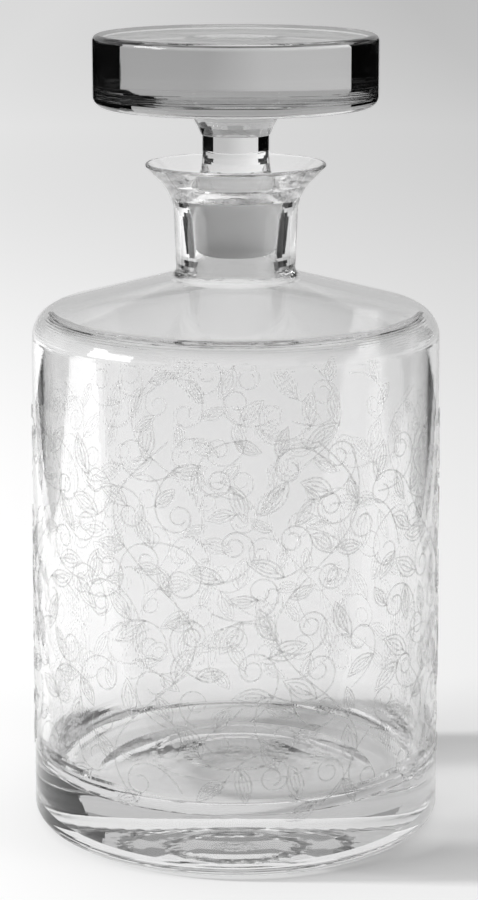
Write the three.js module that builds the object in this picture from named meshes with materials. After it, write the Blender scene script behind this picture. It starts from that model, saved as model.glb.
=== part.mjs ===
// A cordial decanter: a straight-sided blown bottle with a thick base and a flared lip, closed by a
// solid disc stopper whose tapered plug seats in the neck. Millimetres and degrees, +Z up.
import * as THREE from 'three';

// Base of the bottle
const BODY_RADIUS = 50;
const HEEL_RADIUS = 3.5;
const PUNT_RADIUS = 34;
const PUNT_RISE = 3;
const BASE_THICKNESS = 13;
const FLOOR_RISE = 1;
const FLOOR_FILLET = 9.5;

// Blown wall, shoulder and neck
const WALL = 2.4;
const FOOT_WALL = 3.2;
const WALL_DRAFT = 0.5;
const WALL_HEIGHT = 120;
const SHOULDER_RADIUS = 7;
const SHOULDER_SLOPE = 15.5;
const NECK_RADIUS = 14.3;
const NECK_FILLET = 2;
const NECK_LENGTH = 13;
const NECK_TAPER = 2.2;

// Flared lip and ground seat
const LIP_RADIUS = 21.5;
const LIP_BEND = 11.5;
const LIP_SLOPE = 45;
const LIP_EDGE = 1;
const SEAT_RADIUS = 10;
const SEAT_RISE = 3.7;
const SEAT_LENGTH = 13.2;
const SEAT_TAPER = 6;

// Plug and shank of the stopper
const SEAT_CLEARANCE = 0.3;
const PLUG_STAND = 0.5;
const PLUG_REACH = 0.65;
const PLUG_LOWER_EDGE = 3;
const PLUG_UPPER_EDGE = 0.6;
const WAIST_FILLET = 19.2;
const SHANK_RADIUS = 7.95;
const SHANK_LENGTH = 4.5;

// Boss and disc of the stopper
const BOSS_LIP = 0.4;
const BOSS_LEAN = 20;
const BOSS_FLARE = 20;
const BOSS_HEIGHT = 6.75;
const DISC_RADIUS = 33.8;
const DISC_THICKNESS = 16.9;
const DISC_LOWER_EDGE = 2.6;
const DISC_UPPER_EDGE = 1.6;

// Fineness of the turned surfaces
const TURN_SEGMENTS = 60;
const ARC_STEP = 15;
const DOME_STEPS = 5;

const { degToRad } = THREE.MathUtils;
const sine = (degrees) => Math.sin(degToRad(degrees));
const cosine = (degrees) => Math.cos(degToRad(degrees));
const tangent = (degrees) => Math.tan(degToRad(degrees));
const point = (r, z) => new THREE.Vector2(r, z);

// Point at an angle on a circle in the profile plane, counted anticlockwise from the outward radius.
function onCircle(centre, radius, angle) {
  return point(centre.x + radius * cosine(angle), centre.y + radius * sine(angle));
}

// Round stretch of a profile about a centre.
function arc(centre, radius, fromAngle, toAngle) {
  const steps = Math.max(2, Math.ceil(Math.abs(toAngle - fromAngle) / ARC_STEP));
  const points = [];
  for (let i = 0; i <= steps; i += 1) {
    points.push(onCircle(centre, radius, fromAngle + ((toAngle - fromAngle) * i) / steps));
  }
  return points;
}

// Shallow dome from the axis out to its rim, which is left to the next stretch of the profile.
function dome(rimRadius, rimHeight, rise) {
  const points = [];
  for (let i = 0; i < DOME_STEPS; i += 1) {
    const share = i / DOME_STEPS;
    points.push(point(rimRadius * share, rimHeight + rise * (1 - share * share)));
  }
  return points;
}

// Solid turned about the Z axis from a profile that starts and ends on that axis.
function turned(profile) {
  const geometry = new THREE.LatheGeometry(profile, TURN_SEGMENTS);
  geometry.rotateX(Math.PI / 2);
  return geometry;
}

// Point at a height, a given depth inside the outer wall, which draws in by its draft from the heel up.
const heelCentre = point(BODY_RADIUS - HEEL_RADIUS, HEEL_RADIUS);
function insideWall(height, depth) {
  const drawnIn = (height - heelCentre.y) * tangent(WALL_DRAFT);
  return point(heelCentre.x + (HEEL_RADIUS - depth) / cosine(WALL_DRAFT) - drawnIn, height);
}

// Rounds of the shoulder and the neck that the blown wall follows.
const shoulderCentre = insideWall(WALL_HEIGHT, SHOULDER_RADIUS);
const shoulderTop = onCircle(shoulderCentre, SHOULDER_RADIUS, 90 - SHOULDER_SLOPE);
const filletRadius = NECK_RADIUS + NECK_FILLET;
const coneHeight = shoulderTop.y + (shoulderTop.x - filletRadius) * tangent(SHOULDER_SLOPE);
const filletCentre = point(filletRadius, coneHeight + NECK_FILLET / cosine(SHOULDER_SLOPE));
const neckFoot = onCircle(filletCentre, NECK_FILLET, 180 - NECK_TAPER);
const neckTop = point(neckFoot.x + NECK_LENGTH * tangent(NECK_TAPER), neckFoot.y + NECK_LENGTH);
const lipCentre = onCircle(neckTop, LIP_BEND, -NECK_TAPER);

// Rim of the lip: a half round on the end of the flare, reaching the lip's radius.
const flareEnd = onCircle(lipCentre, LIP_BEND + LIP_EDGE / 2, 180 - LIP_SLOPE);
const rimRadius = LIP_RADIUS - LIP_EDGE / 2;
const rimCentre = point(rimRadius, flareEnd.y + (rimRadius - flareEnd.x) / tangent(LIP_SLOPE));

// Ground seat of the neck, where the plug goes. It widens upwards and opens sharply into the lip.
const seatSpread = tangent(SEAT_TAPER);
const seatFoot = point(SEAT_RADIUS, neckFoot.y + SEAT_RISE);
const seatTop = point(SEAT_RADIUS + SEAT_LENGTH * seatSpread, seatFoot.y + SEAT_LENGTH);

// Round under the seat, which runs smoothly into the inside of the shoulder.
const coneInside = point(filletRadius, coneHeight - WALL / cosine(SHOULDER_SLOPE));
const seatAbove = seatFoot.clone().sub(coneInside).rotateAround(point(0, 0), degToRad(SHOULDER_SLOPE)).y;
const boreRound = seatAbove / (1 - sine(SHOULDER_SLOPE - SEAT_TAPER));
const boreCentre = onCircle(seatFoot, boreRound, -SEAT_TAPER);

function bottleProfile() {
  const floorCentre = insideWall(BASE_THICKNESS + FLOOR_FILLET, FOOT_WALL + FLOOR_FILLET);
  const outside = [
    ...dome(PUNT_RADIUS, 0, PUNT_RISE),
    point(PUNT_RADIUS, 0),
    ...arc(heelCentre, HEEL_RADIUS, -90, WALL_DRAFT),
    ...arc(shoulderCentre, SHOULDER_RADIUS, WALL_DRAFT, 90 - SHOULDER_SLOPE),
    ...arc(filletCentre, NECK_FILLET, 270 - SHOULDER_SLOPE, 180 - NECK_TAPER),
    ...arc(lipCentre, LIP_BEND, 180 - NECK_TAPER, 180 - LIP_SLOPE),
  ];
  const rim = arc(rimCentre, LIP_EDGE / 2, -LIP_SLOPE, 180 - LIP_SLOPE);
  const inside = [
    seatTop,
    ...arc(boreCentre, boreRound, 180 - SEAT_TAPER, 270 - SHOULDER_SLOPE),
    ...arc(shoulderCentre, SHOULDER_RADIUS - WALL, 90 - SHOULDER_SLOPE, WALL_DRAFT),
    ...arc(floorCentre, FLOOR_FILLET, WALL_DRAFT, -90),
    ...dome(floorCentre.x, BASE_THICKNESS, FLOOR_RISE).reverse(),
  ];
  return [...outside, ...rim, ...inside];
}

// Centre of a round on the plug's side, whose cone stands off the seat's by the clearance.
function plugEdge(height, radius) {
  const standOff = (SEAT_CLEARANCE + radius) / cosine(SEAT_TAPER);
  return point(seatFoot.x + (height - seatFoot.y) * seatSpread - standOff, height);
}

// Plug with a broad round at its foot and a small one at its top, then the hollow waist up to the shank.
function plugProfile() {
  const plugFoot = seatFoot.y - PLUG_REACH;
  const plugTop = seatTop.y + PLUG_STAND;
  const lowerEdge = plugEdge(plugFoot + PLUG_LOWER_EDGE, PLUG_LOWER_EDGE);
  const upperEdge = plugEdge(plugTop - PLUG_UPPER_EDGE, PLUG_UPPER_EDGE);
  const waistRadius = SHANK_RADIUS + WAIST_FILLET;
  const waistTurn = THREE.MathUtils.radToDeg(Math.acos((waistRadius - upperEdge.x) / WAIST_FILLET));
  const waistCentre = point(waistRadius, plugTop + WAIST_FILLET * sine(waistTurn));
  return [
    point(0, plugFoot),
    ...arc(lowerEdge, PLUG_LOWER_EDGE, -90, -SEAT_TAPER),
    ...arc(upperEdge, PLUG_UPPER_EDGE, -SEAT_TAPER, 90),
    ...arc(waistCentre, WAIST_FILLET, 180 + waistTurn, 180).slice(1),
  ];
}

// Rounded foot and hollow flare that spread the shank into the disc's underside.
function bossProfile(bossFoot, discFoot) {
  const footCentre = point(SHANK_RADIUS, bossFoot + BOSS_LIP);
  const flareStart = onCircle(footCentre, BOSS_LIP, -BOSS_LEAN);
  const flareCentre = onCircle(flareStart, BOSS_FLARE, -BOSS_LEAN);
  const flareTurn = THREE.MathUtils.radToDeg(Math.asin((discFoot - flareCentre.y) / BOSS_FLARE));
  return [
    ...arc(footCentre, BOSS_LIP, -90, -BOSS_LEAN),
    ...arc(flareCentre, BOSS_FLARE, 180 - BOSS_LEAN, 180 - flareTurn).slice(1),
  ];
}

function discProfile(discFoot) {
  const discTop = discFoot + DISC_THICKNESS;
  const lowerEdge = point(DISC_RADIUS - DISC_LOWER_EDGE, discFoot + DISC_LOWER_EDGE);
  const upperEdge = point(DISC_RADIUS - DISC_UPPER_EDGE, discTop - DISC_UPPER_EDGE);
  return [
    ...arc(lowerEdge, DISC_LOWER_EDGE, -90, 0),
    ...arc(upperEdge, DISC_UPPER_EDGE, 0, 90),
    point(0, discTop),
  ];
}

function stopperProfile() {
  const plug = plugProfile();
  const bossFoot = plug.at(-1).y + SHANK_LENGTH;
  const discFoot = bossFoot + BOSS_HEIGHT;
  return [
    ...plug,
    ...bossProfile(bossFoot, discFoot),
    ...discProfile(discFoot),
  ];
}

function glassPiece(name, profile, colour, roughness) {
  const material = new THREE.MeshStandardMaterial({ color: colour, roughness, metalness: 0 });
  const mesh = new THREE.Mesh(turned(profile), material);
  mesh.name = name;
  return mesh;
}

const decanter = new THREE.Group();
decanter.add(glassPiece('bottle', bottleProfile(), 0xdfe2e2, 0.05));
decanter.add(glassPiece('stopper', stopperProfile(), 0xd2d6d6, 0.04));

export default decanter;
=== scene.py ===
import math
import random

import bmesh
import bpy
from mathutils import Euler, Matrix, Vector, noise


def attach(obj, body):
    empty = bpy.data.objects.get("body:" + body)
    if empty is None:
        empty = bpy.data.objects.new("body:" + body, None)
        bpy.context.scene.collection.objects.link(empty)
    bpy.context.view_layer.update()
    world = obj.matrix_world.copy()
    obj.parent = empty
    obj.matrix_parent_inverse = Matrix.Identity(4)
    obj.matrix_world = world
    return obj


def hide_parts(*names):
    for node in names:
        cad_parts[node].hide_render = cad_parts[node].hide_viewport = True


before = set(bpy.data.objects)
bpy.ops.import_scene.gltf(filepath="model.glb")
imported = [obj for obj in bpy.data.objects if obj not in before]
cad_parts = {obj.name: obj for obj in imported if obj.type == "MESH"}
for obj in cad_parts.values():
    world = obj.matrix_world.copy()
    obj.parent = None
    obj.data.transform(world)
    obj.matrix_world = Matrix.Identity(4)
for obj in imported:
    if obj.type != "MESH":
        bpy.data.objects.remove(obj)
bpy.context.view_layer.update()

scene = bpy.context.scene
scene.view_settings.view_transform = "Standard"

# Camera. It stands about 60 cm in front, a little above the stopper, and looks down on the
# decanter's middle, as the photograph was taken. The lens is long and the depth is all sharp.
MM = 0.001
CAMERA_AT_MM = (0.78, -625.33, 236.74)
CAMERA_LOOKS_DOWN = 13.096
CAMERA_LENS = 105.592
CAMERA_SENSOR = 36.0

camera = bpy.data.objects.new("camera", bpy.data.cameras.new("camera"))
camera.location = Vector(CAMERA_AT_MM) * MM
camera.rotation_euler = Euler((math.radians(90 - CAMERA_LOOKS_DOWN), 0, 0))
camera.data.lens = CAMERA_LENS
camera.data.sensor_width = CAMERA_SENSOR
scene.collection.objects.link(camera)
scene.camera = camera


# Bottle. One blown piece of clear glass: a thick base with a shallow hollow underneath, a straight
# wall that draws in very slightly, a sloping shoulder, a short neck and a flared lip. It is turned
# here as one closed skin, outside and inside, so light bends twice in each wall as in the real one.
BODY_RADIUS = 50.0
HEEL_RADIUS = 3.5
HOLLOW_RADIUS = 34.0
HOLLOW_RISE = 3.0
BASE_THICKNESS = 13.0
FLOOR_RISE = 1.0
FLOOR_FILLET = 9.5
WALL = 2.4
FOOT_WALL = 3.2
WALL_DRAFT = 0.5
WALL_HEIGHT = 120.0
SHOULDER_RADIUS = 7.0
SHOULDER_SLOPE = 15.5
NECK_RADIUS = 14.3
NECK_FILLET = 2.0
NECK_LENGTH = 13.0
NECK_TAPER = 2.2
LIP_RADIUS = 21.5
LIP_BEND = 11.5
LIP_SLOPE = 45.0
LIP_EDGE = 1.0
SEAT_RADIUS = 10.0
SEAT_RISE = 3.7
SEAT_LENGTH = 13.2
SEAT_TAPER = 6.0
ARC_STEP = 6.0
RIM_STEP = 20.0
HOLLOW_STEPS = 12
FLOOR_STEPS = 70
RING_SPACING = 8.0
TURN_STEPS = 420
MERGE_WITHIN = 0.002
CREASE = 9.0


def on_circle(centre, radius, degrees):
    """Point of a circle in the profile's plane, counted from the outward radius."""
    angle = math.radians(degrees)
    return Vector((centre.x + radius * math.cos(angle), centre.y + radius * math.sin(angle)))


def arc(centre, radius, start, stop, step=ARC_STEP):
    """Round stretch of a profile about a centre."""
    steps = max(3, math.ceil(abs(stop - start) / step))
    return [on_circle(centre, radius, start + (stop - start) * i / steps) for i in range(steps + 1)]


def dome(rim_radius, rim_height, rise, steps):
    """Shallow dome from the axis out to just short of its rim."""
    shares = [i / steps for i in range(steps)]
    return [Vector((rim_radius * s, rim_height + rise * (1 - s * s))) for s in shares]


def turned_glass(name, profile, ripple=None):
    """Spins a profile that starts and ends on the axis into one smooth closed skin."""
    bm = bmesh.new()
    chain = [bm.verts.new((p.x * MM, 0, p.y * MM)) for p in profile]
    edges = [bm.edges.new(pair) for pair in zip(chain, chain[1:])]
    for edge in edges:
        cuts = int(edge.calc_length() / (RING_SPACING * MM))
        if cuts:
            bmesh.ops.subdivide_edges(bm, edges=[edge], cuts=cuts)
    bmesh.ops.spin(
        bm, geom=bm.verts[:] + bm.edges[:], cent=(0, 0, 0), axis=(0, 0, 1),
        angle=math.tau, steps=TURN_STEPS, use_merge=True,
    )
    bmesh.ops.remove_doubles(bm, verts=bm.verts[:], dist=MERGE_WITHIN * MM)
    bmesh.ops.recalc_face_normals(bm, faces=bm.faces[:])
    if ripple:
        for vert in bm.verts:
            vert.co += ripple(vert.co)
    for edge in bm.edges:
        edge.smooth = edge.calc_face_angle(0.0) < math.radians(CREASE)
    mesh = bpy.data.meshes.new(name)
    bm.to_mesh(mesh)
    bm.free()
    piece = bpy.data.objects.new(name, mesh)
    scene.collection.objects.link(piece)
    return piece


def inside_wall(height, depth):
    """Point at a height, a given depth inside the outer wall, which draws in from the heel up."""
    drawn_in = (height - HEEL_RADIUS) * math.tan(math.radians(WALL_DRAFT))
    offset = (HEEL_RADIUS - depth) / math.cos(math.radians(WALL_DRAFT))
    return Vector((BODY_RADIUS - HEEL_RADIUS + offset - drawn_in, height))


slope = math.radians(SHOULDER_SLOPE)
heel_centre = Vector((BODY_RADIUS - HEEL_RADIUS, HEEL_RADIUS))
shoulder_centre = inside_wall(WALL_HEIGHT, SHOULDER_RADIUS)
shoulder_top = on_circle(shoulder_centre, SHOULDER_RADIUS, 90 - SHOULDER_SLOPE)
fillet_radius = NECK_RADIUS + NECK_FILLET
cone_height = shoulder_top.y + (shoulder_top.x - fillet_radius) * math.tan(slope)
fillet_centre = Vector((fillet_radius, cone_height + NECK_FILLET / math.cos(slope)))
neck_foot = on_circle(fillet_centre, NECK_FILLET, 180 - NECK_TAPER)
neck_spread = NECK_LENGTH * math.tan(math.radians(NECK_TAPER))
neck_top = neck_foot + Vector((neck_spread, NECK_LENGTH))
lip_centre = on_circle(neck_top, LIP_BEND, -NECK_TAPER)
flare_end = on_circle(lip_centre, LIP_BEND + LIP_EDGE / 2, 180 - LIP_SLOPE)
rim_radius = LIP_RADIUS - LIP_EDGE / 2
rim_rise = (rim_radius - flare_end.x) / math.tan(math.radians(LIP_SLOPE))
rim_centre = Vector((rim_radius, flare_end.y + rim_rise))
seat_spread = math.tan(math.radians(SEAT_TAPER))
seat_foot = Vector((SEAT_RADIUS, neck_foot.y + SEAT_RISE))
seat_top = seat_foot + Vector((SEAT_LENGTH * seat_spread, SEAT_LENGTH))
cone_inside = Vector((fillet_radius, cone_height - WALL / math.cos(slope)))
seat_above = (seat_foot - cone_inside).dot(Vector((math.sin(slope), math.cos(slope))))
bore_round = seat_above / (1 - math.sin(slope - math.radians(SEAT_TAPER)))
bore_centre = on_circle(seat_foot, bore_round, -SEAT_TAPER)
floor_centre = inside_wall(BASE_THICKNESS + FLOOR_FILLET, FOOT_WALL + FLOOR_FILLET)

bottle_profile = [
    *dome(HOLLOW_RADIUS, 0, HOLLOW_RISE, HOLLOW_STEPS),
    Vector((HOLLOW_RADIUS, 0)),
    *arc(heel_centre, HEEL_RADIUS, -90, WALL_DRAFT),
    *arc(shoulder_centre, SHOULDER_RADIUS, WALL_DRAFT, 90 - SHOULDER_SLOPE),
    *arc(fillet_centre, NECK_FILLET, 270 - SHOULDER_SLOPE, 180 - NECK_TAPER),
    *arc(lip_centre, LIP_BEND, 180 - NECK_TAPER, 180 - LIP_SLOPE),
    *arc(rim_centre, LIP_EDGE / 2, -LIP_SLOPE, 180 - LIP_SLOPE, RIM_STEP),
    seat_top,
    *arc(bore_centre, bore_round, 180 - SEAT_TAPER, 270 - SHOULDER_SLOPE),
    *arc(shoulder_centre, SHOULDER_RADIUS - WALL, 90 - SHOULDER_SLOPE, WALL_DRAFT),
    *arc(floor_centre, FLOOR_FILLET, WALL_DRAFT, -90),
    *reversed(dome(floor_centre.x, BASE_THICKNESS, FLOOR_RISE, FLOOR_STEPS)),
]

BLOWN_RIPPLE = 0.015
BLOWN_RIPPLE_LENGTH = 16.0
RIPPLE_TOP = 121.0
RIPPLE_SLACK = 0.1
# Each ring on the chamber's floor has its radius, its width and its height.
FLOOR_RINGS = ((20.0, 1.0, 0.12), (11.8, 1.0, 0.12), (3.0, 0.9, 0.05))
RING_JAG = 0.8
RING_TEETH = 9.0


def blown_ripple(point):
    """Uneven flow of the inner skin, which the mould never touches, and jagged rings on its floor."""
    across = math.hypot(point.x, point.y)
    within = across < (BODY_RADIUS - WALL / 2) * MM
    between = (BASE_THICKNESS - RIPPLE_SLACK) * MM < point.z < RIPPLE_TOP * MM
    if not (within and between) or across < RIPPLE_SLACK * MM:
        return Vector((0, 0, 0))
    swing = noise.noise(point / (BLOWN_RIPPLE_LENGTH * MM)) * BLOWN_RIPPLE * MM
    outward = Vector((point.x, point.y, 0)) / across
    if point.z > (BASE_THICKNESS + FLOOR_FILLET) * MM:
        return outward * swing
    jag = RING_JAG * noise.noise(outward * RING_TEETH)
    for radius, width, height in FLOOR_RINGS:
        swing += height * MM * math.exp(-(((across / MM) - radius - jag) / width) ** 2)
    return Vector((0, 0, swing))


GLASS_WHITE = 0.985
GLASS_BEND = 1.5
RINGS_STRETCH = (12, 12, 420)
SMEAR_SCALE = 90.0
SMEAR_RANGE = (0.35, 0.75)
SMEAR_ROUGHNESS = 0.03
DEPTH_GREY = 0.3
SHADOW_STOPS = ((0.1, 1.0), (0.2, 0.95), (0.3, 0.5), (0.45, 0.4), (0.9, 0.3))
LYING_RANGE = (0.75, 0.9)
LYING_SHADOW = 0.97
MIX_SHARE = 0
MIX_FIRST = 6
MIX_SECOND = 7
MIX_RESULT = 2


def grey(level):
    """A neutral colour."""
    return (level, level, level, 1)


def polished_skin(tree, wave_length, wave_depth, ring_depth):
    """Clear glass with slow waves, fine turning rings and faint smears in its polish."""
    link = tree.links.new
    place = tree.nodes.new("ShaderNodeTexCoord")
    wave = tree.nodes.new("ShaderNodeTexNoise")
    wave.inputs["Scale"].default_value = 1 / (wave_length * MM)
    wave.inputs["Detail"].default_value = 1.0
    stretch = tree.nodes.new("ShaderNodeMapping")
    stretch.inputs["Scale"].default_value = RINGS_STRETCH
    rings = tree.nodes.new("ShaderNodeTexNoise")
    rings.inputs["Scale"].default_value = 1.0
    rings.inputs["Detail"].default_value = 3.0
    wave_bump = tree.nodes.new("ShaderNodeBump")
    wave_bump.inputs["Distance"].default_value = wave_depth * MM
    ring_bump = tree.nodes.new("ShaderNodeBump")
    ring_bump.inputs["Distance"].default_value = ring_depth * MM
    smear = tree.nodes.new("ShaderNodeTexNoise")
    smear.inputs["Scale"].default_value = SMEAR_SCALE
    smear.inputs["Detail"].default_value = 4.0
    polish = tree.nodes.new("ShaderNodeMapRange")
    polish.inputs["From Min"].default_value = SMEAR_RANGE[0]
    polish.inputs["From Max"].default_value = SMEAR_RANGE[1]
    polish.inputs["To Min"].default_value = 0.0
    polish.inputs["To Max"].default_value = SMEAR_ROUGHNESS
    glass = tree.nodes.new("ShaderNodeBsdfPrincipled")
    glass.inputs["Base Color"].default_value = grey(GLASS_WHITE)
    glass.inputs["Transmission Weight"].default_value = 1.0
    glass.inputs["IOR"].default_value = GLASS_BEND
    link(place.outputs["Object"], wave.inputs["Vector"])
    link(place.outputs["Object"], stretch.inputs["Vector"])
    link(stretch.outputs["Vector"], rings.inputs["Vector"])
    link(place.outputs["Object"], smear.inputs["Vector"])
    link(wave.outputs["Fac"], wave_bump.inputs["Height"])
    link(rings.outputs["Fac"], ring_bump.inputs["Height"])
    link(wave_bump.outputs["Normal"], ring_bump.inputs["Normal"])
    link(ring_bump.outputs["Normal"], glass.inputs["Normal"])
    link(smear.outputs["Fac"], polish.inputs["Value"])
    link(polish.outputs["Result"], glass.inputs["Roughness"])
    return glass


def shadow_veil(tree):
    """Lets lamplight straight through, dimmed by how edge-on it meets an upright outer face."""
    link = tree.links.new
    through = tree.nodes.new("ShaderNodeBsdfTransparent")
    edge_on = tree.nodes.new("ShaderNodeLayerWeight")
    edge_on.inputs["Blend"].default_value = 0.5
    shade = tree.nodes.new("ShaderNodeValToRGB")
    stops = shade.color_ramp.elements
    for position, level in SHADOW_STOPS:
        stop = stops.new(position)
        stop.color = grey(level)
    stops.remove(stops[0])
    stops.remove(stops[-1])
    skin = tree.nodes.new("ShaderNodeNewGeometry")
    upright = tree.nodes.new("ShaderNodeSeparateXYZ")
    lying = tree.nodes.new("ShaderNodeMath")
    lying.operation = "ABSOLUTE"
    flat = tree.nodes.new("ShaderNodeMapRange")
    flat.inputs["From Min"].default_value = LYING_RANGE[0]
    flat.inputs["From Max"].default_value = LYING_RANGE[1]
    spared = tree.nodes.new("ShaderNodeMath")
    spared.operation = "MAXIMUM"
    veil = tree.nodes.new("ShaderNodeMix")
    veil.data_type = "RGBA"
    veil.inputs[MIX_SECOND].default_value = grey(LYING_SHADOW)
    link(edge_on.outputs["Facing"], shade.inputs["Fac"])
    link(skin.outputs["Normal"], upright.inputs["Vector"])
    link(upright.outputs["Z"], lying.inputs[0])
    link(lying.outputs["Value"], flat.inputs["Value"])
    link(flat.outputs["Result"], spared.inputs[0])
    link(skin.outputs["Backfacing"], spared.inputs[1])
    link(spared.outputs["Value"], veil.inputs[MIX_SHARE])
    link(shade.outputs["Color"], veil.inputs[MIX_FIRST])
    link(veil.outputs[MIX_RESULT], through.inputs["Color"])
    return through


def clear_glass(name, wave_length, wave_depth, ring_depth, greyness):
    """Polished clear glass with a grey depth, which throws a light shadow."""
    material = bpy.data.materials.new(name)
    material.use_nodes = True
    tree = material.node_tree
    tree.nodes.clear()
    link = tree.links.new
    glass = polished_skin(tree, wave_length, wave_depth, ring_depth)
    through = shadow_veil(tree)
    path = tree.nodes.new("ShaderNodeLightPath")
    pick = tree.nodes.new("ShaderNodeMixShader")
    depth = tree.nodes.new("ShaderNodeVolumeAbsorption")
    depth.inputs["Color"].default_value = grey(DEPTH_GREY)
    depth.inputs["Density"].default_value = greyness
    output = tree.nodes.new("ShaderNodeOutputMaterial")
    link(path.outputs["Is Shadow Ray"], pick.inputs["Fac"])
    link(glass.outputs["BSDF"], pick.inputs[1])
    link(through.outputs["BSDF"], pick.inputs[2])
    link(pick.outputs["Shader"], output.inputs["Surface"])
    link(depth.outputs["Volume"], output.inputs["Volume"])
    return material


bottle = turned_glass("blown_bottle", bottle_profile, blown_ripple)
bottle_glass = clear_glass(
    "blown_glass", wave_length=14.0, wave_depth=0.01, ring_depth=0.002, greyness=1.0,
)

# The rings of the chamber's floor also carry painted shade, in jagged dark grey lines that are
# less clear than the glass and show only from inside it.
PAINTED_RING_STOPS = ((10.8, 0), (11.6, 1), (12.2, 1), (13.0, 0), (18.8, 0), (19.8, 1), (20.4, 1), (21.4, 0))
PAINTED_RING_REACH = 40.0
PAINTED_RING_JAG = 1.3
PAINTED_RING_TEETH = 420.0
PAINTED_RING_TEETH_RANGE = (0.3, 0.7)
PAINTED_RING_CLEAR = 0.35
PAINTED_RING_SHADE = 0.2

tree = bottle_glass.node_tree
link = tree.links.new
place = tree.nodes["Texture Coordinate"]
skin = tree.nodes["Geometry"]
glass = tree.nodes["Principled BSDF"]
split = tree.nodes.new("ShaderNodeSeparateXYZ")
on_floor = tree.nodes.new("ShaderNodeMath")
on_floor.operation = "COMPARE"
on_floor.inputs[1].default_value = (BASE_THICKNESS + FLOOR_RISE / 2) * MM
on_floor.inputs[2].default_value = FLOOR_RISE * MM
level = tree.nodes.new("ShaderNodeMapping")
level.inputs["Scale"].default_value = (1, 1, 0)
across = tree.nodes.new("ShaderNodeVectorMath")
across.operation = "LENGTH"
teeth = tree.nodes.new("ShaderNodeTexNoise")
teeth.inputs["Scale"].default_value = PAINTED_RING_TEETH
teeth.inputs["Detail"].default_value = 2.0
jag = tree.nodes.new("ShaderNodeMapRange")
jag.inputs["From Min"].default_value = PAINTED_RING_TEETH_RANGE[0]
jag.inputs["From Max"].default_value = PAINTED_RING_TEETH_RANGE[1]
jag.inputs["To Min"].default_value = -PAINTED_RING_JAG * MM
jag.inputs["To Max"].default_value = PAINTED_RING_JAG * MM
jagged = tree.nodes.new("ShaderNodeMath")
share = tree.nodes.new("ShaderNodeMapRange")
share.inputs["From Max"].default_value = PAINTED_RING_REACH * MM
lines = tree.nodes.new("ShaderNodeValToRGB")
for radius, darkness in PAINTED_RING_STOPS:
    stop = lines.color_ramp.elements.new(radius / PAINTED_RING_REACH)
    stop.color = grey(darkness)
lines.color_ramp.elements[-1].color = grey(0)
from_below = tree.nodes.new("ShaderNodeMath")
from_below.operation = "MULTIPLY"
ring_shade = tree.nodes.new("ShaderNodeMath")
ring_shade.operation = "MULTIPLY"
# Painted shade: on a ring line the glass turns dark grey and lets less light through.
clear = tree.nodes.new("ShaderNodeMapRange")
clear.inputs["To Min"].default_value = 1.0
clear.inputs["To Max"].default_value = PAINTED_RING_CLEAR
shade_tint = tree.nodes.new("ShaderNodeMix")
shade_tint.data_type = "RGBA"
shade_tint.inputs[MIX_FIRST].default_value = grey(GLASS_WHITE)
shade_tint.inputs[MIX_SECOND].default_value = grey(PAINTED_RING_SHADE)
link(place.outputs["Object"], split.inputs["Vector"])
link(split.outputs["Z"], on_floor.inputs[0])
link(place.outputs["Object"], level.inputs["Vector"])
link(level.outputs["Vector"], across.inputs[0])
link(place.outputs["Object"], teeth.inputs["Vector"])
link(teeth.outputs["Fac"], jag.inputs["Value"])
link(across.outputs["Value"], jagged.inputs[0])
link(jag.outputs["Result"], jagged.inputs[1])
link(jagged.outputs["Value"], share.inputs["Value"])
link(share.outputs["Result"], lines.inputs["Fac"])
link(on_floor.outputs["Value"], from_below.inputs[0])
link(skin.outputs["Backfacing"], from_below.inputs[1])
link(lines.outputs["Color"], ring_shade.inputs[0])
link(from_below.outputs["Value"], ring_shade.inputs[1])
link(ring_shade.outputs["Value"], clear.inputs["Value"])
link(clear.outputs["Result"], glass.inputs["Transmission Weight"])
link(ring_shade.outputs["Value"], shade_tint.inputs[MIX_SHARE])
link(shade_tint.outputs[MIX_RESULT], glass.inputs["Base Color"])
bottle.data.materials.append(bottle_glass)
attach(bottle, "bottle")
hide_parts("bottle")


# Etched vine. A fine frosted scroll covers the straight wall: rising stems, curling tendrils and
# small veined leaves. Each stroke is made here as a hair-thin raised line bedded in the outer skin.
VINE_SEED = 29
VINE_STEMS = 8
VINE_FOOT = 17.0
VINE_TOP = 104.0
STEM_SWING = 10.5
STEM_WAVE = 58.0
STEM_LEAD = 0.4
STEM_STEPS = 72
CURL_TRIES = 2600
CURL_APART = 9.8
CURL_MARGIN = 2.0
CURL_EYE = (1.5, 2.0)
CURL_CLOSING = 1.6
TENDRIL_LENGTH = (30.0, 44.0)
TENDRIL_BEND = (12.0, 26.0)
TENDRIL_STEP = 0.8
TENDRIL_MARGIN = 1.0
LEAF_APART = 6.9
LEAF_OFF_CURL = 4.6
LEAF_MARGIN = 2.0
LEAF_LENGTH = (6.5, 10.5)
LEAF_WIDTH = (0.4, 0.5)
LEAF_LEAN = (30.0, 70.0)
LEAF_BEND = (0.1, 0.6)
LEAF_MIDDLE = 0.55
LEAF_SHARES = (0.96, 0.84, 0.72, 0.6, 0.48, 0.36, 0.24, 0.12)
LEAF_STEPS = 6
LEAF_INSETS = (0.0, 0.24)
INSET_START = 0.75
INSET_SHORTENS = 1.25
LEAF_FULLNESS = 0.85
LEAF_FOOT_WIDTH = 1.12
LEAF_NARROWING = 0.3
STROKE_RADIUS = 0.2
STROKE_STAND = 0.05

dice = random.Random(VINE_SEED)
girth = math.tau * BODY_RADIUS


def apart(a, b):
    """Distance of two places on the unrolled wall."""
    sideways = (a.x - b.x + girth / 2) % girth - girth / 2
    return math.hypot(sideways, a.y - b.y)


def bent_line(start, heading, length, bend_at, step):
    """Line drawn forward from a start while its bend changes along the way."""
    points = [start.copy()]
    count = max(3, round(length / step))
    for i in range(count):
        heading += bend_at((i + 0.5) / count) * length / count
        points.append(points[-1] + Vector((math.cos(heading), math.sin(heading))) * length / count)
    return points


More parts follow.
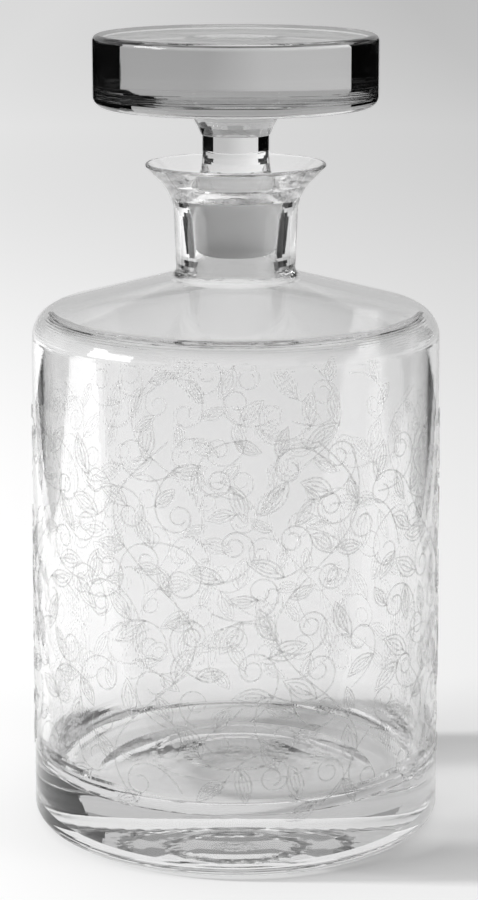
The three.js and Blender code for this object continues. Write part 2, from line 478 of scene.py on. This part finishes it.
def leaf_strokes(start, heading, length, width, bend):
    """A leaf's midrib, its outline and an outline within it."""
    rib = bent_line(start, heading, length, lambda share: bend / length, length / LEAF_STEPS)
    strokes = [rib[:LEAF_STEPS - 1:2]]
    for inset in LEAF_INSETS:
        sides = []
        for side in (1, -1):
            edge = []
            for i in range(LEAF_STEPS + 1):
                share = inset * INSET_START + (1 - inset * INSET_SHORTENS) * i / LEAF_STEPS
                low = min(int(share * LEAF_STEPS), LEAF_STEPS - 1)
                middle = rib[low].lerp(rib[low + 1], share * LEAF_STEPS - low)
                along = (rib[low + 1] - rib[low]).normalized()
                belly = math.sin(math.pi * i / LEAF_STEPS) ** LEAF_FULLNESS
                belly *= LEAF_FOOT_WIDTH - LEAF_NARROWING * i / LEAF_STEPS
                outward = Vector((-along.y, along.x))
                edge.append(middle + outward * side * width * (0.5 - inset) * belly)
            sides.append(edge)
        strokes.append(sides[0] + sides[1][-2::-1])
    return strokes


stem_strokes = []
leaf_lines = []
leaf_places = []
curl_places = []


def add_leaf(start, heading, bend):
    """Sets a leaf where there is room for it."""
    length = dice.uniform(*LEAF_LENGTH)
    middle = start + Vector((math.cos(heading), math.sin(heading))) * length * LEAF_MIDDLE
    crowded = any(apart(middle, other) < LEAF_APART for other in leaf_places)
    crowded = crowded or any(apart(middle, other) < LEAF_OFF_CURL for other in curl_places)
    if crowded or not VINE_FOOT - LEAF_MARGIN < middle.y < VINE_TOP + LEAF_MARGIN:
        return
    leaf_places.append(middle)
    width = length * dice.uniform(*LEAF_WIDTH)
    leaf_lines.extend(leaf_strokes(start, heading, length, width, bend))


for number in range(VINE_STEMS):
    middle = girth * (number + 0.5) / VINE_STEMS
    lead = math.pi * (number % 2) + dice.uniform(-STEM_LEAD, STEM_LEAD)
    stem = []
    for i in range(STEM_STEPS + 1):
        rise = VINE_FOOT + (VINE_TOP - VINE_FOOT) * i / STEM_STEPS
        swing = STEM_SWING * math.sin(math.tau * (rise - VINE_FOOT) / STEM_WAVE + lead)
        stem.append(Vector((middle + swing, rise)))
    stem_strokes.append(stem)

# Each tendril starts in the eye of a curl, where there is room, and runs away from it as it opens.
for attempt in range(CURL_TRIES):
    height = (VINE_FOOT + CURL_MARGIN, VINE_TOP - CURL_MARGIN)
    centre = Vector((dice.uniform(0, girth), dice.uniform(*height)))
    side = dice.choice((-1, 1))
    heading = dice.uniform(0, math.tau)
    length = dice.uniform(*TENDRIL_LENGTH)
    if any(apart(centre, other) < CURL_APART for other in curl_places):
        continue
    tightest = 1 / dice.uniform(*CURL_EYE)
    spread = 1 / dice.uniform(*TENDRIL_BEND)
    line = bent_line(
        centre, heading, length,
        lambda share: side * (spread + (tightest - spread) * (1 - share) ** CURL_CLOSING), TENDRIL_STEP,
    )
    lowest = min(p.y for p in line)
    highest = max(p.y for p in line)
    if VINE_FOOT - TENDRIL_MARGIN < lowest and highest < VINE_TOP + TENDRIL_MARGIN:
        curl_places.append(centre + (line[2] - line[0]) * 0.5)
        stem_strokes.append(line)
for line in stem_strokes:
    for share in LEAF_SHARES:
        at = int(share * (len(line) - 2))
        along = line[at + 1] - line[at]
        side = dice.choice((-1, 1))
        lean = math.atan2(along.y, along.x) - side * math.radians(dice.uniform(*LEAF_LEAN))
        add_leaf(line[at], lean, side * dice.uniform(*LEAF_BEND))


def etched(name, strokes):
    """Lays strokes of the unrolled wall round the bottle as fine raised lines."""
    curve = bpy.data.curves.new(name, "CURVE")
    curve.dimensions = "3D"
    curve.bevel_depth = STROKE_RADIUS * MM
    curve.bevel_resolution = 0
    curve.use_fill_caps = True
    for stroke in strokes:
        spline = curve.splines.new("POLY")
        spline.points.add(len(stroke) - 1)
        for knot, place in zip(spline.points, stroke):
            around = place.x / BODY_RADIUS
            out = (inside_wall(place.y, 0).x + STROKE_STAND) * MM
            knot.co = (out * math.sin(around), -out * math.cos(around), place.y * MM, 1)
    drawn = bpy.data.objects.new(name, curve)
    scene.collection.objects.link(drawn)
    shape = drawn.evaluated_get(bpy.context.evaluated_depsgraph_get())
    mesh = bpy.data.meshes.new_from_object(shape)
    mesh.name = name
    bpy.data.objects.remove(drawn)
    piece = bpy.data.objects.new(name, mesh)
    scene.collection.objects.link(piece)
    return piece


FROST_WHITE = 0.86
FROST_ROUGHNESS = 0.6
FROST_BEND = 1.45
FROST_GRAIN = 900.0
FROST_GRAIN_RANGE = (0.3, 0.7)
FROST_COVER = (0.1, 0.31)

frost = bpy.data.materials.new("etched_frost")
frost.use_nodes = True
tree = frost.node_tree
link = tree.links.new
etch = tree.nodes["Principled BSDF"]
etch.inputs["Base Color"].default_value = grey(FROST_WHITE)
etch.inputs["Roughness"].default_value = FROST_ROUGHNESS
etch.inputs["Transmission Weight"].default_value = 1.0
etch.inputs["IOR"].default_value = FROST_BEND
place = tree.nodes.new("ShaderNodeTexCoord")
grain = tree.nodes.new("ShaderNodeTexNoise")
grain.inputs["Scale"].default_value = FROST_GRAIN
grain.inputs["Detail"].default_value = 3.0
cover = tree.nodes.new("ShaderNodeMapRange")
cover.inputs["From Min"].default_value = FROST_GRAIN_RANGE[0]
cover.inputs["From Max"].default_value = FROST_GRAIN_RANGE[1]
cover.inputs["To Min"].default_value = FROST_COVER[0]
cover.inputs["To Max"].default_value = FROST_COVER[1]
link(place.outputs["Object"], grain.inputs["Vector"])
link(grain.outputs["Fac"], cover.inputs["Value"])
link(cover.outputs["Result"], etch.inputs["Alpha"])

for name, strokes in (("vine_stems", stem_strokes), ("vine_leaves", leaf_lines)):
    piece = etched(name, strokes)
    piece.data.materials.append(frost)
    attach(piece, "bottle")


# Stopper. One solid piece of clear glass: a thick disc, a conical boss, a short shank, a hollow
# waist and a tapered plug that is ground to fit the neck. It drops in and lifts straight out.
SEAT_CLEARANCE = 0.3
PLUG_STAND = 0.5
PLUG_REACH = 0.65
PLUG_LOWER_EDGE = 3.0
PLUG_UPPER_EDGE = 0.6
WAIST_FILLET = 19.2
SHANK_RADIUS = 7.95
SHANK_LENGTH = 4.5
BOSS_LIP = 0.4
BOSS_LEAN = 20.0
BOSS_FLARE = 20.0
BOSS_HEIGHT = 6.75
DISC_RADIUS = 33.8
DISC_THICKNESS = 16.9
DISC_LOWER_EDGE = 2.6
DISC_UPPER_EDGE = 1.6


def plug_edge(height, radius):
    """Centre of a round on the plug's side, which stands off the seat by the clearance."""
    stand_off = (SEAT_CLEARANCE + radius) / math.cos(math.radians(SEAT_TAPER))
    return Vector((seat_foot.x + (height - seat_foot.y) * seat_spread - stand_off, height))


plug_foot = seat_foot.y - PLUG_REACH
plug_top = seat_top.y + PLUG_STAND
plug_low = plug_edge(plug_foot + PLUG_LOWER_EDGE, PLUG_LOWER_EDGE)
plug_high = plug_edge(plug_top - PLUG_UPPER_EDGE, PLUG_UPPER_EDGE)
waist_across = SHANK_RADIUS + WAIST_FILLET
waist_turn = math.degrees(math.acos((waist_across - plug_high.x) / WAIST_FILLET))
waist_rise = WAIST_FILLET * math.sin(math.radians(waist_turn))
waist_centre = Vector((waist_across, plug_top + waist_rise))
boss_foot = waist_centre.y + SHANK_LENGTH
disc_foot = boss_foot + BOSS_HEIGHT
disc_top = disc_foot + DISC_THICKNESS
boss_lip = Vector((SHANK_RADIUS, boss_foot + BOSS_LIP))
flare_centre = on_circle(on_circle(boss_lip, BOSS_LIP, -BOSS_LEAN), BOSS_FLARE, -BOSS_LEAN)
flare_turn = math.degrees(math.asin((disc_foot - flare_centre.y) / BOSS_FLARE))
disc_low = Vector((DISC_RADIUS - DISC_LOWER_EDGE, disc_foot + DISC_LOWER_EDGE))
disc_high = Vector((DISC_RADIUS - DISC_UPPER_EDGE, disc_top - DISC_UPPER_EDGE))

stopper_profile = [
    Vector((0, plug_foot)),
    *arc(plug_low, PLUG_LOWER_EDGE, -90, -SEAT_TAPER),
    *arc(plug_high, PLUG_UPPER_EDGE, -SEAT_TAPER, 90),
    *arc(waist_centre, WAIST_FILLET, 180 + waist_turn, 180)[1:],
    *arc(boss_lip, BOSS_LIP, -90, -BOSS_LEAN),
    *arc(flare_centre, BOSS_FLARE, 180 - BOSS_LEAN, 180 - flare_turn)[1:],
    *arc(disc_low, DISC_LOWER_EDGE, -90, 0),
    *arc(disc_high, DISC_UPPER_EDGE, 0, 90),
    Vector((0, disc_top)),
]

stopper = turned_glass("disc_stopper", stopper_profile)
stopper_glass = clear_glass(
    "solid_glass", wave_length=9.0, wave_depth=0.02, ring_depth=0.006, greyness=7.5,
)

# The plug is ground matt from its foot up to just under its top edge.
GROUND_ENDS_BELOW = 0.1
GROUND_FULL_BELOW = 0.7
GROUND_ROUGHNESS = 0.7
GROUND_GREY = 0.85
GROUND_CLEAR = 0.95

tree = stopper_glass.node_tree
link = tree.links.new
place = tree.nodes["Texture Coordinate"]
glass = tree.nodes["Principled BSDF"]
polish = tree.nodes["Map Range"]
split = tree.nodes.new("ShaderNodeSeparateXYZ")
ground = tree.nodes.new("ShaderNodeMapRange")
ground.interpolation_type = "SMOOTHSTEP"
ground.inputs["From Min"].default_value = (plug_top - GROUND_ENDS_BELOW) * MM
ground.inputs["From Max"].default_value = (plug_top - GROUND_FULL_BELOW) * MM
matt = tree.nodes.new("ShaderNodeMix")
matt.inputs["B"].default_value = GROUND_ROUGHNESS
dulled = tree.nodes.new("ShaderNodeMix")
dulled.data_type = "RGBA"
dulled.inputs[MIX_FIRST].default_value = grey(GLASS_WHITE)
dulled.inputs[MIX_SECOND].default_value = grey(GROUND_GREY)
clear = tree.nodes.new("ShaderNodeMapRange")
clear.inputs["To Min"].default_value = 1.0
clear.inputs["To Max"].default_value = GROUND_CLEAR
link(place.outputs["Object"], split.inputs["Vector"])
link(split.outputs["Z"], ground.inputs["Value"])
link(ground.outputs["Result"], matt.inputs["Factor"])
link(polish.outputs["Result"], matt.inputs["A"])
link(matt.outputs["Result"], glass.inputs["Roughness"])
link(ground.outputs["Result"], dulled.inputs[MIX_SHARE])
link(dulled.outputs[MIX_RESULT], glass.inputs["Base Color"])
link(ground.outputs["Result"], clear.inputs["Value"])
link(clear.outputs["Result"], glass.inputs["Transmission Weight"])
stopper.data.materials.append(stopper_glass)
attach(stopper, "stopper")
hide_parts("stopper")


# Paper. A wide sweep of pale matt paper under the decanter, which keeps its shadow. A weak glow adds
# painted light that makes up for the lamps' falloff: it rises away from the decanter, is stronger at
# the left, the key's side, and only the camera and the glass see it. Places of the set are in metres
# from here on.
PAPER_REACH = 7.0
PAPER_DROP = 0.00025
PAPER_STEPS = 8
PAPER_WHITE = 0.9
NEAR_GLOW = 0.1
FAR_GLOW = 0.37
GLOW_START = 0.1
GLOW_REACH = 1.6
SIDE_GLOW = 0.25
SIDE_REACH = 0.25

bm = bmesh.new()
bmesh.ops.create_grid(bm, x_segments=PAPER_STEPS, y_segments=PAPER_STEPS, size=PAPER_REACH)
bmesh.ops.translate(bm, verts=bm.verts[:], vec=(0, 0, -PAPER_DROP))
floor_mesh = bpy.data.meshes.new("paper_floor")
bm.to_mesh(floor_mesh)
bm.free()
floor = bpy.data.objects.new("paper_floor", floor_mesh)
scene.collection.objects.link(floor)

paper = bpy.data.materials.new("paper")
paper.use_nodes = True
tree = paper.node_tree
tree.nodes.clear()
link = tree.links.new
output = tree.nodes.new("ShaderNodeOutputMaterial")
place = tree.nodes.new("ShaderNodeTexCoord")
away = tree.nodes.new("ShaderNodeVectorMath")
away.operation = "LENGTH"
fade = tree.nodes.new("ShaderNodeMapRange")
fade.inputs["From Min"].default_value = GLOW_START
fade.inputs["From Max"].default_value = GLOW_REACH
fade.inputs["To Min"].default_value = NEAR_GLOW
fade.inputs["To Max"].default_value = FAR_GLOW
split = tree.nodes.new("ShaderNodeSeparateXYZ")
# Painted light: the glow is brighter at the left, where the key stands, and dimmer at the right.
aside = tree.nodes.new("ShaderNodeMapRange")
aside.inputs["From Min"].default_value = -SIDE_REACH
aside.inputs["From Max"].default_value = SIDE_REACH
aside.inputs["To Min"].default_value = 1 + SIDE_GLOW
aside.inputs["To Max"].default_value = 1 - SIDE_GLOW
level = tree.nodes.new("ShaderNodeMath")
level.operation = "MULTIPLY"
path = tree.nodes.new("ShaderNodeLightPath")
camera_or_glossy = tree.nodes.new("ShaderNodeMath")
camera_or_glossy.operation = "MAXIMUM"
seen = tree.nodes.new("ShaderNodeMath")
seen.operation = "MAXIMUM"
strength = tree.nodes.new("ShaderNodeMath")
strength.operation = "MULTIPLY"
matt_paper = tree.nodes.new("ShaderNodeBsdfDiffuse")
matt_paper.inputs["Color"].default_value = grey(PAPER_WHITE)
glow = tree.nodes.new("ShaderNodeEmission")
add = tree.nodes.new("ShaderNodeAddShader")
link(place.outputs["Object"], away.inputs[0])
link(away.outputs["Value"], fade.inputs["Value"])
link(place.outputs["Object"], split.inputs["Vector"])
link(split.outputs["X"], aside.inputs["Value"])
link(fade.outputs["Result"], level.inputs[0])
link(aside.outputs["Result"], level.inputs[1])
link(path.outputs["Is Camera Ray"], camera_or_glossy.inputs[0])
link(path.outputs["Is Glossy Ray"], camera_or_glossy.inputs[1])
link(camera_or_glossy.outputs["Value"], seen.inputs[0])
link(path.outputs["Is Transmission Ray"], seen.inputs[1])
link(seen.outputs["Value"], strength.inputs[0])
link(level.outputs["Value"], strength.inputs[1])
link(strength.outputs["Value"], glow.inputs["Strength"])
link(matt_paper.outputs["BSDF"], add.inputs[0])
link(glow.outputs["Emission"], add.inputs[1])
link(add.outputs["Shader"], output.inputs["Surface"])
floor_mesh.materials.append(paper)


# Dark boards. Two black flags stand close by, left and right of the stopper, black cards lie on the
# paper farther out and in front, the room is dark in front and at the right, and a dim screen hangs
# beyond the decanter, high up. Only the glass sees them, and they turn with the camera.
FLAG_ASIDE = 0.07
FLAG_FRONT = -0.12
FLAG_BACK = 0.127
FLAG_FOOT = 0.147
FLAG_TOP = 0.2
FLAG_THICKNESS = 0.002
CARD_INNER = 0.25
CARD_OUTER = 2.0
CARD_FRONT = 0.145
CARD_BACK = 0.43
CARD_LIFT = 0.003
CARD_THICKNESS = 0.001
FRONT_CARD_START = -0.11
FRONT_CARD_END = -1.5
SCREEN_BACK = 3.0
SCREEN_WIDTH = 5.0
SCREEN_FOOT = 1.55
SCREEN_TOP = 2.9
SCREEN_GLOW = 0.3
SIDE_WALL_ASIDE = 1.5
SIDE_WALL_FRONT = -1.2
SIDE_WALL_BACK = 2.3
SIDE_WALL_FOOT = 0.2
SIDE_WALL_TOP = 2.2
ROOM_FRONT = -1.6
ROOM_WIDTH = 6.0
ROOM_HEIGHT = 0.6
PANEL_THICKNESS = 0.01
BOARD_BLACK = 0.003

stand = bpy.data.objects.new("flag_stand", None)
scene.collection.objects.link(stand)
facing = stand.constraints.new("LOCKED_TRACK")
facing.target = camera
facing.track_axis = "TRACK_NEGATIVE_Y"
facing.lock_axis = "LOCK_Z"


def board_paint(name, glow):
    """Black matt paint, which may have a dim glow."""
    paint = bpy.data.materials.new(name)
    paint.use_nodes = True
    coat = paint.node_tree.nodes["Principled BSDF"]
    coat.inputs["Base Color"].default_value = grey(BOARD_BLACK)
    coat.inputs["Specular IOR Level"].default_value = 0.0
    coat.inputs["Emission Color"].default_value = grey(1)
    coat.inputs["Emission Strength"].default_value = glow
    return paint


black = board_paint("black_board", 0.0)
dim_grey = board_paint("grey_board", SCREEN_GLOW)


def dark_board(name, low, high, paint=black):
    """A board between two opposite corners, seen only by the glass."""
    bm = bmesh.new()
    bmesh.ops.create_cube(bm, size=1.0)
    for vert in bm.verts:
        vert.co = Vector(a + (b - a) * (c + 0.5) for a, b, c in zip(low, high, vert.co))
    mesh = bpy.data.meshes.new(name)
    bm.to_mesh(mesh)
    bm.free()
    mesh.materials.append(paint)
    board = bpy.data.objects.new(name, mesh)
    scene.collection.objects.link(board)
    board.parent = stand
    board.visible_camera = False
    board.visible_diffuse = False
    board.visible_shadow = False


for side, hand in ((-1, "left"), (1, "right")):
    dark_board(
        "flag_" + hand,
        (side * FLAG_ASIDE, FLAG_FRONT, FLAG_FOOT),
        (side * (FLAG_ASIDE + FLAG_THICKNESS), FLAG_BACK, FLAG_TOP),
    )
    dark_board(
        "card_" + hand,
        (side * CARD_INNER, CARD_FRONT, CARD_LIFT),
        (side * CARD_OUTER, CARD_BACK, CARD_LIFT + CARD_THICKNESS),
    )
dark_board(
    "card_front",
    (-CARD_OUTER, FRONT_CARD_END, CARD_LIFT),
    (CARD_OUTER, FRONT_CARD_START, CARD_LIFT + CARD_THICKNESS),
)
dark_board(
    "grey_screen",
    (-SCREEN_WIDTH / 2, SCREEN_BACK, SCREEN_FOOT),
    (SCREEN_WIDTH / 2, SCREEN_BACK + PANEL_THICKNESS, SCREEN_TOP),
    dim_grey,
)
dark_board(
    "dark_wall",
    (SIDE_WALL_ASIDE, SIDE_WALL_FRONT, SIDE_WALL_FOOT),
    (SIDE_WALL_ASIDE + PANEL_THICKNESS, SIDE_WALL_BACK, SIDE_WALL_TOP),
)
dark_board(
    "dark_room",
    (-ROOM_WIDTH / 2, ROOM_FRONT - PANEL_THICKNESS, 0),
    (ROOM_WIDTH / 2, ROOM_FRONT, ROOM_HEIGHT),
)


# Lights. A large soft key and a small hard lamp stand at the left and throw the shadow to the right,
# with its edge and its streaks. A weak soft light fills from the right and another hangs overhead.
# Only the key is mirrored in the glass, and no lamp is seen through it.
WORLD_FILL = 0.25
SKY_SEEN = 0.55


def soft_lamp(name, place, aim, size, power):
    """A rectangular lamp at a place, turned to what it lights."""
    lamp = bpy.data.lights.new(name, "AREA")
    lamp.shape = "RECTANGLE"
    lamp.size, lamp.size_y = size
    lamp.energy = power
    holder = bpy.data.objects.new(name, lamp)
    holder.location = place
    holder.rotation_euler = (Vector(aim) - Vector(place)).to_track_quat("-Z", "Y").to_euler()
    holder.visible_transmission = False
    scene.collection.objects.link(holder)
    return holder


soft_lamp("key_left", place=(-1.05, -0.3, 0.52), aim=(0, 0, 0.08), size=(0.6, 0.5), power=8.5)
spot = soft_lamp("spot_left", place=(-1.15, -0.03, 0.56), aim=(0, 0, 0.05), size=(0.1, 0.1), power=13.0)
fill = soft_lamp("fill_right", place=(1.1, -0.5, 0.7), aim=(0, 0, 0.08), size=(0.4, 0.5), power=1.5)
overhead = soft_lamp("overhead", place=(0, 0.1, 1.35), aim=(0, 0.1, 0), size=(1.0, 1.0), power=2.2)
for lamp in (spot, fill, overhead):
    lamp.visible_glossy = False

world = bpy.data.worlds.new("studio")
scene.world = world
world.use_nodes = True
tree = world.node_tree
tree.nodes.clear()
link = tree.links.new
output = tree.nodes.new("ShaderNodeOutputWorld")
sky = tree.nodes.new("ShaderNodeBackground")
path = tree.nodes.new("ShaderNodeLightPath")
pick = tree.nodes.new("ShaderNodeMix")
pick.data_type = "RGBA"
pick.inputs[MIX_FIRST].default_value = grey(SKY_SEEN)
pick.inputs[MIX_SECOND].default_value = grey(WORLD_FILL)
link(path.outputs["Is Diffuse Ray"], pick.inputs[MIX_SHARE])
link(pick.outputs[MIX_RESULT], sky.inputs["Color"])
link(sky.outputs["Background"], output.inputs["Surface"])

scene.cycles.max_bounces = 64
scene.cycles.transmission_bounces = 32
scene.cycles.glossy_bounces = 48
scene.cycles.transparent_max_bounces = 32
scene.cycles.caustics_reflective = False
scene.cycles.caustics_refractive = False
